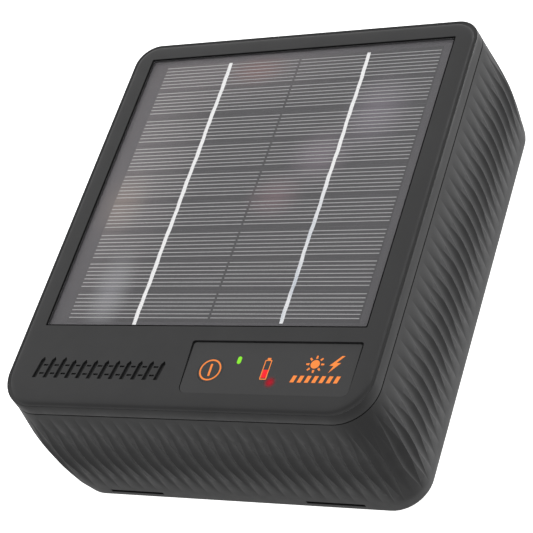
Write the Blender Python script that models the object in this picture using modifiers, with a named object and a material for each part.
"""Solar fence energizer for poultry netting and small livestock fences.

A shallow dark box lies on its back: a fluted rear case, a screwed-on top cover with a solar panel
and a small control label, and under the front of the case two bays with the fence and earth terminals.
+Z is up, +X is to the right and the control label is at the front, towards -Y.
The origin is under the middle of the object, on the surface it stands on.
Sizes in this file are millimetres until a helper turns them into metres.
"""
import math

import bmesh
import bpy
from mathutils import Matrix, Vector

MM = 0.001

# ---- driving dimensions ----
HEIGHT = 63.0            # base to the flat top of the cover
TOP_HALF_X = 76.2        # the flat top, half width
TOP_HALF_Y = 86.2        # the flat top, half length
TOP_R_BACK = 8.9
TOP_R_FRONT = 14.3
COVER_FLARE = 1.8        # the cover's skirt stands out from its flat top by this much
PARTING = 57.2           # lower edge of the cover
SEAM = 0.3               # visible gap between cover and case
WALL = 2.4
FLOOR = 3.0
RIM = 4.2                # wall thickness of the case's rim
RIM_BOTTOM = 52.0
CORNER_STEPS = 6

# Outer sections of the rear case: height, flare of the sides, flare of the ends, back and front corner radius.
CASE_SECTIONS = (
    (0.0, -1.2, 3.2, 14.8, 13.0),
    (0.9, -0.3, 3.9, 15.4, 13.6),
    (8.6, 1.3, 4.4, 16.4, 12.0),
    (19.0, 2.8, 4.3, 15.6, 12.0),
    (30.0, 3.5, 3.8, 14.4, 12.4),
    (PARTING - SEAM, 1.8, 1.8, 10.2, 15.3),
)

# Solar panel
WINDOW = (138.0, 131.7)
WINDOW_Y = 13.6
POCKET_FLOOR = 60.0
BACKING_Z = (60.1, 61.2)
CELL_Z = (61.3, 61.55)
RIBBON_Z = (61.65, 61.8)
LAMINATE_Z = (61.9, 62.5)
CELL_COUNT = 9
CELL_PITCH = 14.0
CELL_SIZE = (125.4, 13.7)
CELL_X = 1.75
RIBBON_X = (-29.6, 33.3)
RIBBON_SIZE = (1.8, 126.4)

# Control label
LABEL_SIZE = (69.5, 21.7)
LABEL_CENTRE = (34.85, -69.2)
LABEL_THICK = 0.35
LABEL_SINK = 0.6         # the label lies this far below the top at its back edge, and level with it at the front
BUTTON_XY = (11.4, -70.5)
BUTTON_R = 5.0
BUTTON_TRAVEL = 0.8
BUTTON_UNDERSIDE = 61.3
STATUS_XY = (22.0, -66.3)
LOW_XY = (34.0, -72.2)
COVER_UNDERSIDE = 58.2

# Control board, under the cover
CONTROL_BOARD = (62.0, 17.0, 1.2)
CONTROL_XY = (28.0, -70.0)
CONTROL_Z = 51.4

# Screws and their towers
TOWER_XY = (65.0, 78.0)
TOWER_R = 4.9
TOWER_TOP = 31.7
COUNTERBORE_R = 3.4
COUNTERBORE_TOP = 27.7
COVER_BOSS_R = 4.0

# Main board
BOARD = (104.0, 66.0, 1.6)
BOARD_Y = -10.0
BOARD_Z = 14.0
BOARD_TOP = BOARD_Z + BOARD[2]
STANDOFF_X = 47.0
STANDOFF_Y = (-38.0, 18.0)

# Terminals
BAY_X = 43.6
BAY = (26.0, 37.0, 16.0)
BAY_Y = -68.5
BAY_WALL = 2.0
STUD_Y = -60.0
STUD_R = 2.4
KNOB_R = 8.5
KNOB_Z = (4.9, 12.9)
WASHER_Z = (13.2, 14.2)
SLOT = (24.3, 1.0)
SLOT_Z = 3.4

# Keyholes for hanging the unit on two screws
KEYHOLE_Y = 66.0
KEYHOLE_HEAD_R = 4.6
KEYHOLE_NECK = 4.6
KEYHOLE_LIP = 2.5
KEYHOLE_DEPTH = 7.0

# Battery
BATTERY_LENGTH = 65.2
BATTERY_R = 9.2
BATTERY_Y = (43.0, 64.0)
BATTERY_Z = 22.5
CRADLE_X = (-36.5, 36.5)
CRADLE_Y = (31.5, 75.5)
CRADLE_Z = (10.8, 24.0)
CRADLE_LENGTH = CRADLE_Y[1] - CRADLE_Y[0]


# ---- scene ----
for old in list(bpy.data.objects):
    bpy.data.objects.remove(old)

PARTS = bpy.data.collections.new("fence_energizer")
CUTTERS = bpy.data.collections.new("cutters")
bpy.context.scene.collection.children.link(PARTS)
bpy.context.scene.collection.children.link(CUTTERS)


def material(name, colour, roughness=0.5, metallic=0.0, alpha=1.0):
    """A Principled material of one colour."""
    made = bpy.data.materials.new(name)
    made.use_nodes = True
    shader = made.node_tree.nodes["Principled BSDF"]
    shader.inputs["Base Color"].default_value = (*colour, 1.0)
    shader.inputs["Roughness"].default_value = roughness
    shader.inputs["Metallic"].default_value = metallic
    shader.inputs["Alpha"].default_value = alpha
    return made


CASE_PLASTIC = material("case_plastic", (0.045, 0.045, 0.047), 0.55)
LAMINATE = material("laminate", (0.6, 0.6, 0.62), 0.12, 0.0, 0.3)
SILICON = material("silicon", (0.09, 0.09, 0.11), 0.3)
BACKSHEET = material("backsheet", (0.03, 0.03, 0.035), 0.5)
TINNED = material("tinned_copper", (0.8, 0.8, 0.82), 0.3, 1.0)
LABEL_FILM = material("label_film", (0.05, 0.05, 0.052), 0.4)
BUTTON_RUBBER = material("button_rubber", (0.05, 0.05, 0.052), 0.5)
GREEN_LENS = material("green_lens", (0.15, 0.8, 0.1), 0.2)
RED_LENS = material("red_lens", (0.8, 0.05, 0.05), 0.2)
BOARD_GREEN = material("circuit_board", (0.02, 0.14, 0.06), 0.45)
CHIP_BLACK = material("chip_black", (0.02, 0.02, 0.02), 0.4)
SEAL_RUBBER = material("seal_rubber", (0.02, 0.02, 0.02), 0.8)
FILM_BLUE = material("capacitor_case", (0.04, 0.12, 0.4), 0.35)
CORE_STEEL = material("core_steel", (0.3, 0.3, 0.32), 0.45, 1.0)
BOBBIN_NYLON = material("bobbin_nylon", (0.7, 0.66, 0.55), 0.5)
COPPER = material("winding_copper", (0.72, 0.32, 0.12), 0.35, 1.0)
CELL_WRAP = material("cell_wrap", (0.05, 0.25, 0.6), 0.35)
CRADLE_PLASTIC = material("cradle_plastic", (0.08, 0.08, 0.08), 0.5)
NICKEL = material("nickel_strip", (0.7, 0.68, 0.62), 0.35, 1.0)
STEEL = material("screw_steel", (0.6, 0.6, 0.6), 0.3, 1.0)
BRASS = material("terminal_brass", (0.78, 0.6, 0.25), 0.3, 1.0)
RED_KNOB = material("red_knob", (0.65, 0.03, 0.02), 0.4)
GREEN_KNOB = material("green_knob", (0.02, 0.3, 0.08), 0.4)
RED_WIRE = material("red_wire", (0.6, 0.03, 0.03), 0.45)
BLACK_WIRE = material("black_wire", (0.02, 0.02, 0.02), 0.45)
YELLOW_WIRE = material("yellow_wire", (0.8, 0.6, 0.05), 0.45)


# ---- helpers ----
def register(name, mesh, finish=None, smooth_deg=35.0):
    """Puts a mesh into the object, or among the cutters when it has no finish."""
    made = bpy.data.objects.new(name, mesh)
    if finish is None:
        CUTTERS.objects.link(made)
        made.hide_render = True
        made.display_type = "WIRE"
        return made
    PARTS.objects.link(made)
    mesh.materials.append(finish)
    mesh.shade_smooth()
    mesh.set_sharp_from_angle(angle=math.radians(smooth_deg))
    return made


def solid(name, bm, finish=None):
    """Finishes a bmesh built in millimetres."""
    bmesh.ops.scale(bm, vec=(MM, MM, MM), verts=bm.verts)
    bmesh.ops.recalc_face_normals(bm, faces=bm.faces)
    mesh = bpy.data.meshes.new(name)
    bm.to_mesh(mesh)
    bm.free()
    return register(name, mesh, finish)


def box(name, size, centre, finish=None, bevel=0.0, bevel_steps=2):
    """A block, with rounded edges when bevel is set."""
    bm = bmesh.new()
    bmesh.ops.create_cube(bm, size=1.0)
    bmesh.ops.scale(bm, vec=size, verts=bm.verts)
    bmesh.ops.translate(bm, vec=centre, verts=bm.verts)
    made = solid(name, bm, finish)
    if bevel:
        rounding = made.modifiers.new("rounding", "BEVEL")
        rounding.width = bevel * MM
        rounding.segments = bevel_steps
        rounding.limit_method = "ANGLE"
    return made


def slab(name, x, y, z, finish=None, bevel=0.0):
    """A block given by its low and high limits along each axis."""
    size = (x[1] - x[0], y[1] - y[0], z[1] - z[0])
    centre = (sum(x) / 2, sum(y) / 2, sum(z) / 2)
    return box(name, size, centre, finish, bevel)


def cylinder(name, radius, z, xy=(0.0, 0.0), finish=None, segments=24):
    """An upright round bar between two heights."""
    bm = bmesh.new()
    place = Matrix.Translation((xy[0], xy[1], sum(z) / 2))
    bmesh.ops.create_cone(bm, cap_ends=True, segments=segments, radius1=radius, radius2=radius,
                          depth=z[1] - z[0], matrix=place)
    return solid(name, bm, finish)


def bar_x(name, radius, length, y, z, finish=None, segments=28):
    """A round bar along X, centred on x = 0."""
    bm = bmesh.new()
    place = Matrix.Translation((0.0, y, z)) @ Matrix.Rotation(math.pi / 2, 4, "Y")
    bmesh.ops.create_cone(bm, cap_ends=True, segments=segments, radius1=radius, radius2=radius,
                          depth=length, matrix=place)
    return solid(name, bm, finish)


def turned(name, profile, xy, finish, steps=18):
    """A turned piece: profile lists (radius, height) from the top down its outer side."""
    mesh = bpy.data.meshes.new(name)
    points = [(radius * MM, 0.0, height * MM) for radius, height in profile]
    edges = [(i, i + 1) for i in range(len(points) - 1)]
    mesh.from_pydata(points, edges, [])
    made = register(name, mesh, finish)
    made.location = (xy[0] * MM, xy[1] * MM, 0.0)
    turn = made.modifiers.new("turn", "SCREW")
    turn.steps = steps
    turn.render_steps = steps
    turn.use_merge_vertices = True
    turn.merge_threshold = 0.00001
    turn.use_smooth_shade = False
    return made


def wire(name, points, radius, finish):
    """A round wire along a smooth route through the given points."""
    route = smooth_route(points, 3)
    curve = bpy.data.curves.new(name, "CURVE")
    curve.dimensions = "3D"
    curve.bevel_depth = radius * MM
    curve.bevel_resolution = 2
    curve.use_fill_caps = True
    spline = curve.splines.new("POLY")
    spline.points.add(len(route) - 1)
    for target, point in zip(spline.points, route):
        target.co = (*(point * MM), 1.0)
    made = bpy.data.objects.new(name, curve)
    PARTS.objects.link(made)
    curve.materials.append(finish)
    return made


def smooth_route(points, steps):
    """Points along a Catmull-Rom curve through the given points."""
    knots = [Vector(p) for p in points]
    knots = [2 * knots[0] - knots[1]] + knots + [2 * knots[-1] - knots[-2]]
    route = []
    for a, b, c, d in zip(knots, knots[1:], knots[2:], knots[3:]):
        for step in range(steps):
            t = step / steps
            route.append(0.5 * (2 * b + (c - a) * t + (2 * a - 5 * b + 4 * c - d) * t ** 2
                                + (3 * b - a - 3 * c + d) * t ** 3))
    return route + [knots[-2]]


def outline(half_x, half_y, r_back, r_front, height):
    """A rectangle with round corners, the back pair and the front pair of different radius."""
    corners = (
        (half_x - r_back, half_y - r_back, r_back, 0.0),
        (r_back - half_x, half_y - r_back, r_back, 90.0),
        (r_front - half_x, r_front - half_y, r_front, 180.0),
        (half_x - r_front, r_front - half_y, r_front, 270.0),
    )
    points = []
    for x, y, radius, start in corners:
        for step in range(CORNER_STEPS + 1):
            angle = math.radians(start + 90.0 * step / CORNER_STEPS)
            points.append((x + radius * math.cos(angle), y + radius * math.sin(angle), height))
    return points


def loft(name, sections, finish=None):
    """A closed solid through outlines that have equal numbers of points."""
    bm = bmesh.new()
    rings = [[bm.verts.new(point) for point in section] for section in sections]
    count = len(rings[0])
    for low, high in zip(rings, rings[1:]):
        for i in range(count):
            j = (i + 1) % count
            bm.faces.new((low[i], low[j], high[j], high[i]))
    bm.faces.new(reversed(rings[0]))
    bm.faces.new(rings[-1])
    return solid(name, bm, finish)


def boolean(target, tool, operation):
    step = target.modifiers.new(operation.lower() + "_" + tool.name, "BOOLEAN")
    step.operation = operation
    step.object = tool


def cut(target, *tools):
    for tool in tools:
        boolean(target, tool, "DIFFERENCE")


def fuse(target, *tools):
    for tool in tools:
        boolean(target, tool, "UNION")


def case_section(height, inset=0.0):
    """The case's outline at any height, moved inwards by inset."""
    sections = CASE_SECTIONS
    below = max((s for s in sections if s[0] <= height), key=lambda s: s[0], default=sections[0])
    above = min((s for s in sections if s[0] >= height), key=lambda s: s[0], default=sections[-1])
    share = 0.0 if above[0] == below[0] else (height - below[0]) / (above[0] - below[0])
    side, end, r_back, r_front = (a + (b - a) * share for a, b in zip(below[1:], above[1:]))
    return outline(TOP_HALF_X + side - inset, TOP_HALF_Y + end - inset, r_back - inset, r_front - inset, height)


def cover_section(height, flare):
    """The top cover's outline at a height, standing out from the flat top by flare."""
    r_back = TOP_R_BACK + flare * 0.7
    r_front = TOP_R_FRONT + flare * 0.55
    return outline(TOP_HALF_X + flare, TOP_HALF_Y + flare, r_back, r_front, height)


def four_corners(x, y):
    return [(sx * x, sy * y) for sy in (-1, 1) for sx in (-1, 1)]


# ---- rear case ----
def make_rear_case():
    case = loft("rear_case", [case_section(s[0]) for s in CASE_SECTIONS], CASE_PLASTIC)
    levels = [(FLOOR, WALL), (8.6, WALL), (19.0, WALL), (30.0, WALL), (RIM_BOTTOM - 1.8, WALL), (RIM_BOTTOM, RIM)]
    hollow = [case_section(height, inset) for height, inset in levels]
    rim_height = PARTING - SEAM
    top_ring = case_section(rim_height, RIM)
    hollow.append([(x, y, HEIGHT) for x, y, _ in top_ring])
    cut(case, loft("case_hollow", hollow))

    for index, xy in enumerate(four_corners(*TOWER_XY)):
        fuse(case, cylinder(f"tower_{index}", TOWER_R, (1.0, TOWER_TOP), xy, segments=20))
        cut(case, cylinder(f"counterbore_{index}", COUNTERBORE_R, (-1.0, COUNTERBORE_TOP), xy, segments=20))
        cut(case, cylinder(f"screw_way_{index}", 1.9, (COUNTERBORE_TOP - 1.0, TOWER_TOP + 1.0), xy, segments=12))
    for y in STANDOFF_Y:
        for x in (-STANDOFF_X, STANDOFF_X):
            tag = f"{x:.0f}_{y:.0f}"
            fuse(case, cylinder(f"standoff_{tag}", 3.5, (1.0, BOARD_Z - SEAM), (x, y), segments=16))
            cut(case, cylinder(f"standoff_bore_{tag}", 1.4, (6.0, BOARD_Z + 1.0), (x, y), segments=12))
    for side in (-1, 1):
        add_terminal_bay(case, side)
        add_keyhole(case, side)
    for index, (x, y) in enumerate(four_corners(CRADLE_X[1] - 5.0, CRADLE_LENGTH / 2 - 5.0)):
        place = (x, y + sum(CRADLE_Y) / 2)
        fuse(case, cylinder(f"cradle_rest_{index}", 3.0, (1.0, CRADLE_Z[0] - SEAM), place, segments=12))

    groove_levels = (rim_height - 1.2, rim_height + 1.0)
    groove = ring_solid("seal_groove", 1.3, 2.9, groove_levels)
    cut(case, groove)
    return case


def add_terminal_bay(case, side):
    """A bay open to the underside, with a hole for the stud and a narrow slot through the front wall."""
    x = side * BAY_X
    tag = "right" if side > 0 else "left"
    outer_x = (x - BAY[0] / 2 - BAY_WALL, x + BAY[0] / 2 + BAY_WALL)
    block = slab(f"bay_block_{tag}", outer_x, (-88.8, BAY_Y + BAY[1] / 2 + BAY_WALL), (1.0, BAY[2] + BAY_WALL))
    fuse(case, block)
    cut(case, box(f"bay_{tag}", (BAY[0], BAY[1], BAY[2] + 1.0), (x, BAY_Y, (BAY[2] - 1.0) / 2)))
    cut(case, cylinder(f"stud_way_{tag}", STUD_R + 0.5, (BAY[2] - 1.0, BAY[2] + 3.0), (x, STUD_Y), segments=20))
    cut(case, box(f"slot_{tag}", (SLOT[0], 12.0, SLOT[1]), (x, -90.0, SLOT_Z)))


def add_keyhole(case, side):
    """A blind keyhole: a round entry for a screw head and a narrow neck with room for the head behind it."""
    y = side * KEYHOLE_Y
    tag = "back" if side > 0 else "front"
    neck_end = y + 10.0
    fuse(case, box(f"keyhole_block_{tag}", (15.0, 26.0, KEYHOLE_DEPTH + 1.0), (0.0, y + 3.0, KEYHOLE_DEPTH / 2 + 1.5)))
    cut(case, cylinder(f"keyhole_entry_{tag}", KEYHOLE_HEAD_R, (-1.0, KEYHOLE_DEPTH), (0.0, y - 3.0)))
    cut(case, slab(f"keyhole_neck_{tag}", (-KEYHOLE_NECK / 2, KEYHOLE_NECK / 2), (y - 3.0, neck_end), (-1.0, KEYHOLE_LIP + 0.5)))
    cut(case, slab(f"keyhole_run_{tag}", (-4.5, 4.5), (y - 3.0, neck_end + 2.0), (KEYHOLE_LIP, KEYHOLE_DEPTH)))


def ring_solid(name, inset_outer, inset_inner, levels, finish=None):
    """A closed ring that follows the case's rim between two insets."""
    rim_height = PARTING - SEAM
    bm = bmesh.new()
    rings = []
    for inset, height in ((inset_outer, levels[0]), (inset_outer, levels[1]),
                          (inset_inner, levels[1]), (inset_inner, levels[0])):
        rings.append([bm.verts.new((x, y, height)) for x, y, _ in case_section(rim_height, inset)])
    count = len(rings[0])
    for low, high in zip(rings, rings[1:] + rings[:1]):
        for i in range(count):
            j = (i + 1) % count
            bm.faces.new((low[i], low[j], high[j], high[i]))
    return solid(name, bm, finish)


# ---- top cover ----
def make_top_cover():
    profile = (
        (PARTING, COVER_FLARE),
        (61.3, COVER_FLARE),
        (61.9, COVER_FLARE - 0.6),
        (62.0, 0.3),
        (62.7, 0.0),
        (HEIGHT, -0.3),
    )
    cover = loft("top_cover", [cover_section(height, flare) for height, flare in profile], CASE_PLASTIC)
    rim_height = PARTING - SEAM
    inner = case_section(rim_height, 6.4)
    cut(cover, loft("cover_hollow", [[(x, y, z) for x, y, _ in inner] for z in (PARTING - 1.0, COVER_UNDERSIDE)]))
    fuse(cover, ring_solid("cover_tongue", RIM + 0.4, RIM + 2.0, (53.0, COVER_UNDERSIDE + 0.4)))
    for index, xy in enumerate(four_corners(*TOWER_XY)):
        fuse(cover, cylinder(f"cover_boss_{index}", COVER_BOSS_R, (TOWER_TOP + SEAM, COVER_UNDERSIDE + 0.5), xy, segments=20))
        cut(cover, cylinder(f"cover_bore_{index}", 1.8, (TOWER_TOP - 1.0, 49.0), xy, segments=12))
    for x, y in control_posts():
        fuse(cover, cylinder(f"control_post_{x:.0f}", 1.4, (CONTROL_Z - 1.5, COVER_UNDERSIDE + 0.5), (x, y), segments=12))

    cut(cover, box("window_pocket", (WINDOW[0], WINDOW[1], 6.0), (0.0, WINDOW_Y, POCKET_FLOOR + 3.0)))
    cut(cover, cylinder("solar_lead_way", 3.2, (55.0, 61.0), (-55.0, 70.0), segments=16))
    cut(cover, label_plate("label_pocket", 0.15, -0.1, 4.0))
    well_floor = BUTTON_UNDERSIDE - BUTTON_TRAVEL - 0.3
    cut(cover, cylinder("button_well", BUTTON_R + 0.3, (well_floor, 64.0), BUTTON_XY, segments=32))
    cut(cover, cylinder("button_way", 2.4, (55.0, 61.0), BUTTON_XY, segments=16))
    cut(cover, oblong("status_way", STATUS_XY, 2.4, 4.2, (55.0, 64.0)))
    cut(cover, box("low_way", (3.0, 3.4, 9.0), (LOW_XY[0], LOW_XY[1], 59.5)))
    return cover


def control_posts():
    return ((CONTROL_XY[0] - 27.0, CONTROL_XY[1] - 5.5), (CONTROL_XY[0] + 27.0, CONTROL_XY[1] + 5.5))


def label_tilt():
    """The label slopes down towards the back by its sink over its length."""
    return -math.atan2(LABEL_SINK, LABEL_SIZE[1])


def label_plate(name, grow, low, high, finish=None):
    """A sloping plate over the label's outline. low and high are heights above the label's underside."""
    half_y = LABEL_SIZE[1] / 2
    size = (LABEL_SIZE[0] + 2 * grow, LABEL_SIZE[1] + 2 * grow, high - low)
    bm = bmesh.new()
    bmesh.ops.create_cube(bm, size=1.0)
    bmesh.ops.scale(bm, vec=size, verts=bm.verts)
    bmesh.ops.translate(bm, vec=(0.0, half_y, (low + high) / 2 - LABEL_THICK), verts=bm.verts)
    bmesh.ops.rotate(bm, verts=bm.verts, matrix=Matrix.Rotation(label_tilt(), 3, "X"))
    bmesh.ops.translate(bm, vec=(LABEL_CENTRE[0], LABEL_CENTRE[1] - half_y, HEIGHT), verts=bm.verts)
    return solid(name, bm, finish)


def label_height(y):
    """Height of the label's top face at a y."""
    front = LABEL_CENTRE[1] - LABEL_SIZE[1] / 2
    return HEIGHT + math.tan(label_tilt()) * (y - front)


def oblong(name, xy, width, length, z, finish=None):
    """An upright bar with an oblong section, round at both ends."""
    radius = width / 2
    reach = length / 2 - radius
    sections = []
    for height in z:
        ring = []
        for centre, start in ((reach, 0.0), (-reach, 180.0)):
            for step in range(7):
                angle = math.radians(start + 30.0 * step)
                ring.append((xy[0] + radius * math.cos(angle), xy[1] + centre + radius * math.sin(angle), height))
        sections.append(ring)
    return loft(name, sections, finish)


# ---- solar panel ----
def make_solar_panel():
    gap = 0.3
    size = (WINDOW[0] - 2 * gap, WINDOW[1] - 2 * gap)
    across = (-size[0] / 2, size[0] / 2)
    along = (WINDOW_Y - size[1] / 2, WINDOW_Y + size[1] / 2)
    slab("solar_backing", across, along, BACKING_Z, BACKSHEET)
    slab("solar_laminate", across, along, LAMINATE_Z, LAMINATE)
    first = WINDOW_Y - 0.3 - CELL_PITCH * (CELL_COUNT - 1) / 2
    for index in range(CELL_COUNT):
        y = first + CELL_PITCH * index
        slab(f"solar_cell_{index + 1}", (CELL_X - CELL_SIZE[0] / 2, CELL_X + CELL_SIZE[0] / 2),
             (y - CELL_SIZE[1] / 2, y + CELL_SIZE[1] / 2), CELL_Z, SILICON)
    for side, x in zip(("left", "right"), RIBBON_X):
        slab(f"bus_ribbon_{side}", (x - RIBBON_SIZE[0] / 2, x + RIBBON_SIZE[0] / 2),
             (WINDOW_Y - 1.0 - RIBBON_SIZE[1] / 2, WINDOW_Y - 1.0 + RIBBON_SIZE[1] / 2), RIBBON_Z, TINNED)


# ---- controls ----
def make_controls():
    label = label_plate("control_label", 0.0, 0.0, LABEL_THICK, LABEL_FILM)
    cut(label, cylinder("label_button_hole", BUTTON_R + 0.25, (61.0, 64.0), BUTTON_XY, segments=32))
    cut(label, oblong("label_status_hole", STATUS_XY, 2.2, 4.0, (61.0, 64.0)))
    cut(label, box("label_low_hole", (2.8, 3.2, 3.0), (LOW_XY[0], LOW_XY[1], 62.5)))

    cap_top = label_height(BUTTON_XY[1]) + 0.02
    profile = (
        (0.0, cap_top), (BUTTON_R - 0.2, cap_top), (BUTTON_R, cap_top - 0.2), (BUTTON_R, BUTTON_UNDERSIDE),
        (2.0, BUTTON_UNDERSIDE), (2.0, 57.7), (0.0, 57.7),
    )
    turned("power_button", profile, BUTTON_XY, BUTTON_RUBBER, steps=28)
    cylinder("switch_plunger", 1.6, (56.8, 57.4), BUTTON_XY, CHIP_BLACK, segments=16)
    board_top = CONTROL_Z + CONTROL_BOARD[2]
    box("tact_switch", (6.2, 6.2, 3.0), (BUTTON_XY[0], BUTTON_XY[1], board_top + 1.7), STEEL, 0.3, 1)

    oblong("status_light_pipe", STATUS_XY, 1.8, 3.6, (57.6, label_height(STATUS_XY[1])), GREEN_LENS)
    box("low_light_pipe", (2.4, 2.8, label_height(LOW_XY[1]) - 57.6),
        (LOW_XY[0], LOW_XY[1], (label_height(LOW_XY[1]) + 57.6) / 2), RED_LENS)
    for name, xy, finish in (("status_led", STATUS_XY, GREEN_LENS), ("low_led", LOW_XY, RED_LENS)):
        profile = (
            (0.0, board_top + 4.4), (0.9, board_top + 4.1), (1.5, board_top + 3.2), (1.5, board_top + 1.3),
            (1.9, board_top + 1.3), (1.9, board_top + 0.3), (0.0, board_top + 0.3),
        )
        turned(name, profile, xy, finish, steps=16)

    centre = (CONTROL_XY[0], CONTROL_XY[1], CONTROL_Z + CONTROL_BOARD[2] / 2)
    board = box("control_board", CONTROL_BOARD, centre, BOARD_GREEN)
    for x, y in control_posts():
        cut(board, cylinder(f"control_board_hole_{x:.0f}", 1.75, (CONTROL_Z - 1.0, CONTROL_Z + 3.0), (x, y), segments=12))
    wire("control_lead", ((-1.5, -66.0, CONTROL_Z - 1.3), (-1.8, -65.5, 44.0), (-2.5, -58.0, 34.0),
                          (-3.0, -48.0, 26.0), (-3.0, -41.5, 21.0), (-3.0, -40.0, BOARD_TOP + 0.5)), 1.1, BLACK_WIRE)


# ---- main board ----
def make_main_board():
    board = box("main_board", BOARD, (0.0, BOARD_Y, BOARD_Z + BOARD[2] / 2), BOARD_GREEN)
    for y in STANDOFF_Y:
        for x in (-STANDOFF_X, STANDOFF_X):
            cut(board, cylinder(f"board_hole_{x:.0f}_{y:.0f}", 1.7, (BOARD_Z - 1.0, BOARD_TOP + 1.0), (x, y), segments=12))
    index = 0
    for y in STANDOFF_Y:
        for x in (-STANDOFF_X, STANDOFF_X):
            index += 1
            profile = ((0.0, BOARD_TOP + 1.8), (1.8, BOARD_TOP + 1.8), (2.6, BOARD_TOP + 0.9), (2.6, BOARD_TOP + 0.3),
                       (1.05, BOARD_TOP + 0.3), (1.05, 8.0), (0.0, 7.2))
            turned(f"board_screw_{index}", profile, (x, y), STEEL, steps=14)

    floor = BOARD_TOP + 0.3
    slab("storage_capacitor", (-49.0, -7.0), (-34.0, -10.0), (floor, floor + 35.0), FILM_BLUE, 1.5)
    box("microcontroller", (10.0, 10.0, 1.6), (3.0, 12.0, floor + 0.8), CHIP_BLACK)
    make_thyristor((-39.0, 8.0), floor)
    profile = ((0.0, floor + 20.0), (5.2, floor + 20.0), (6.0, floor + 19.2), (6.0, floor + 2.6), (5.6, floor + 2.0),
               (6.0, floor + 1.4), (6.0, floor), (0.0, floor))
    turned("filter_capacitor", profile, (-17.0, 9.0), CHIP_BLACK, steps=20)
    make_inductor((31.0, 11.0), floor)
    make_transformer((24.0, -19.0), floor)


def make_thyristor(xy, floor):
    body = slab("thyristor", (xy[0] - 5.0, xy[0] + 5.0), (xy[1] - 2.2, xy[1] + 2.2), (floor + 3.0, floor + 12.5), CHIP_BLACK)
    fuse(body, slab("thyristor_tab", (xy[0] - 5.0, xy[0] + 5.0), (xy[1] + 0.8, xy[1] + 2.2), (floor + 12.0, floor + 18.5)))
    for step in (-1, 0, 1):
        x = xy[0] + 2.54 * step
        fuse(body, slab(f"thyristor_leg_{step}", (x - 0.5, x + 0.5), (xy[1] - 0.4, xy[1] + 0.4), (floor, floor + 4.0)))
    cut(body, bored_y("thyristor_hole", 1.7, (xy[0], xy[1], floor + 15.6), 8.0))


def bored_y(name, radius, centre, length):
    bm = bmesh.new()
    place = Matrix.Translation(centre) @ Matrix.Rotation(math.pi / 2, 4, "X")
    bmesh.ops.create_cone(bm, cap_ends=True, segments=16, radius1=radius, radius2=radius, depth=length, matrix=place)
    return solid(name, bm)


def make_inductor(xy, floor):
    """A toroid lying flat: a ring of octagonal section."""
    middle, radius = 6.5, 3.2
    height = floor + radius
    sides = 8
    profile = []
    for step in range(sides + 1):
        angle = math.pi / 2 - 2 * math.pi * step / sides
        profile.append((middle + radius * math.cos(angle), height + radius * math.sin(angle)))
    turned("charge_inductor", profile, xy, COPPER, steps=20)


def make_transformer(xy, floor):
    """A pulse transformer: an E-I core of steel, a nylon bobbin on its middle leg and the winding."""
    x, y = xy
    width, height, stack, leg = 42.0, 35.0, 14.0, 12.0
    window_x, window_z = (width - 2 * leg) / 2 * 0.9, height - 14.0
    middle = floor + height / 2
    core = box("transformer_core", (width, stack, height), (x, y, middle), CORE_STEEL)
    offset = leg / 2 + window_x / 2
    for side in (-1, 1):
        cut(core, box(f"core_window_{side}", (window_x, stack + 2.0, window_z), (x + side * offset, y, middle)))

    tube = (leg + 0.6, stack + 0.6)
    bobbin_outer = (tube[0] + 2.0, tube[1] + 2.0)
    flange = (tube[0] + 13.0, tube[1] + 13.0)
    tall = window_z - 0.6
    bobbin = box("transformer_bobbin", (bobbin_outer[0], bobbin_outer[1], tall), (x, y, middle), BOBBIN_NYLON)
    for side in (-1, 1):
        fuse(bobbin, box(f"bobbin_flange_{side}", (flange[0], flange[1], 1.2), (x, y, middle + side * (tall / 2 - 0.6))))
    cut(bobbin, box("bobbin_bore", (tube[0], tube[1], window_z + 6.0), (x, y, middle)))

    winding_outer = (flange[0] - 1.2, flange[1] - 1.0)
    winding = box("transformer_winding", (winding_outer[0], winding_outer[1], tall - 3.0), (x, y, middle), COPPER, 2.0)
    cut(winding, box("winding_bore", (bobbin_outer[0] + 0.6, bobbin_outer[1] + 0.6, window_z), (x, y, middle)))


# ---- battery ----
def make_battery():
    tray = slab("battery_cradle", CRADLE_X, CRADLE_Y, CRADLE_Z, CRADLE_PLASTIC, 1.0)
    for index, y in enumerate(BATTERY_Y):
        cut(tray, bar_x(f"cell_pocket_{index}", BATTERY_R + 0.3, 70.0, y, BATTERY_Z))
        bar_x(f"battery_cell_{index + 1}", BATTERY_R, BATTERY_LENGTH, y, BATTERY_Z, CELL_WRAP)
    middle = sum(BATTERY_Y) / 2
    for index, side in enumerate((-1, 1)):
        box(f"nickel_strap_{index + 1}", (0.4, 27.0, 5.5), (side * (BATTERY_LENGTH / 2 + 0.5), middle, 27.2), NICKEL)
    for name, side, finish in (("battery_lead_positive", 1, RED_WIRE), ("battery_lead_negative", -1, BLACK_WIRE)):
        wire(name, ((side * 34.6, 45.0, 27.0), (side * 36.0, 43.5, 30.5), (side * 40.0, 37.0, 31.0),
                    (side * 43.0, 29.0, 26.0), (side * 43.0, 23.0, 20.5), (side * 42.5, 20.0, BOARD_TOP + 0.5)),
             0.9, finish)


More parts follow.
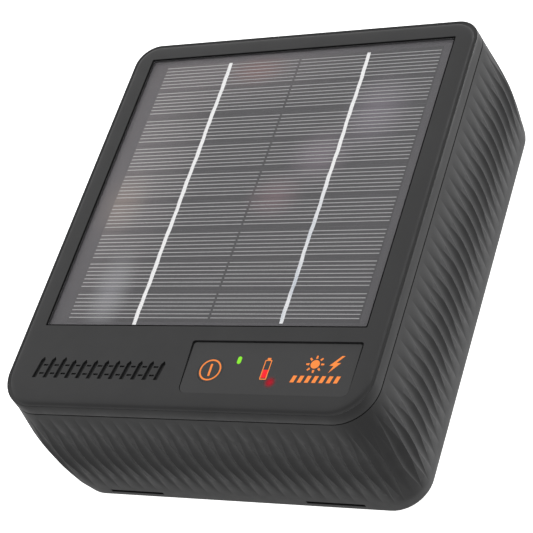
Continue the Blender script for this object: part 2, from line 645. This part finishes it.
def make_internal_leads():
    for name, shift, finish in (("solar_lead_positive", 1.2, RED_WIRE), ("solar_lead_negative", -1.2, BLACK_WIRE)):
        wire(name, ((-55.0 + shift, 70.0, 59.6), (-55.0 + shift, 70.0, 54.0), (-54.0 + shift, 66.0, 46.0),
                    (-50.0 + shift, 52.0, 38.0), (-46.0 + shift, 36.0, 34.0), (-34.0 + shift, 22.5, 26.0),
                    (-31.0 + shift, 19.5, BOARD_TOP + 0.6)), 0.8, finish)
    wire("fence_lead", ((BAY_X, STUD_Y, 24.9), (BAY_X, STUD_Y + 0.5, 29.0), (BAY_X - 3.0, -52.0, 37.0),
                        (34.0, -41.0, 39.0), (28.0, -35.0, 36.0), (27.0, -34.2, 33.4)), 1.2, YELLOW_WIRE)
    wire("earth_lead", ((-BAY_X, STUD_Y, 24.9), (-BAY_X, STUD_Y + 0.5, 29.0), (-BAY_X + 5.0, -50.0, 37.0),
                        (-18.0, -41.0, 41.0), (6.0, -39.5, 40.0), (18.0, -35.5, 37.0), (20.5, -34.2, 33.4)),
         1.2, BLACK_WIRE)


# ---- terminals ----
def make_terminal(name, side, knob_finish):
    """An overmoulded brass stud, a washer, and a knob that clamps a wire between washer and stud flange."""
    xy = (side * BAY_X, STUD_Y)
    profile = ((0.0, 24.4), (STUD_R - 0.4, 24.4), (STUD_R, 24.0), (STUD_R, 21.0), (4.4, 21.0), (4.4, 18.3),
               (STUD_R, 18.3), (STUD_R, 15.7), (6.0, 15.7), (6.0, 14.5), (STUD_R, 14.5), (STUD_R, 2.2),
               (STUD_R - 0.6, 1.6), (0.0, 1.6))
    turned(f"{name}_stud", profile, xy, BRASS)

    low, high = WASHER_Z
    washer = ((STUD_R + 0.4, high), (6.3, high), (6.3, low), (STUD_R + 0.4, low), (STUD_R + 0.4, high))
    turned(f"{name}_washer", washer, xy, STEEL)

    low, high = KNOB_Z
    knob = ((STUD_R + 0.4, high), (KNOB_R - 0.8, high), (KNOB_R, high - 0.8), (KNOB_R, low + 1.2),
            (KNOB_R - 1.2, low), (STUD_R + 0.4, low), (STUD_R + 0.4, high))
    body = turned(f"{name}_knob", knob, xy, knob_finish, steps=24)
    for step in range(6):
        angle = math.radians(60.0 * step)
        grip = (xy[0] + 10.4 * math.cos(angle), xy[1] + 10.4 * math.sin(angle))
        cut(body, cylinder(f"{name}_grip_{step}", 3.0, (low - 1.0, high + 1.0), grip, segments=14))


def make_case_screws():
    """Countersunk pan-head screws that come up from the underside into the cover's bosses."""
    for index, xy in enumerate(four_corners(*TOWER_XY)):
        profile = ((0.0, 46.5), (0.7, 45.4), (1.5, 43.5), (1.5, COUNTERBORE_TOP - 0.3), (2.9, COUNTERBORE_TOP - 0.3),
                   (2.9, 25.8), (2.3, 25.2), (0.0, 25.2))
        screw = turned(f"case_screw_{index + 1}", profile, xy, STEEL, steps=18)
        for turn in (0, 1):
            size = (3.2, 0.8, 1.6) if turn else (0.8, 3.2, 1.6)
            cut(screw, box(f"screw_cross_{index}_{turn}", size, (xy[0], xy[1], 25.2)))


make_rear_case()
make_top_cover()
make_solar_panel()
make_controls()
ring_solid("seal_gasket", 1.55, 2.65, (PARTING - SEAM - 0.9, PARTING - 0.1), SEAL_RUBBER)
make_main_board()
make_battery()
make_internal_leads()
make_terminal("fence", 1, RED_KNOB)
make_terminal("earth", -1, GREEN_KNOB)
make_case_screws()
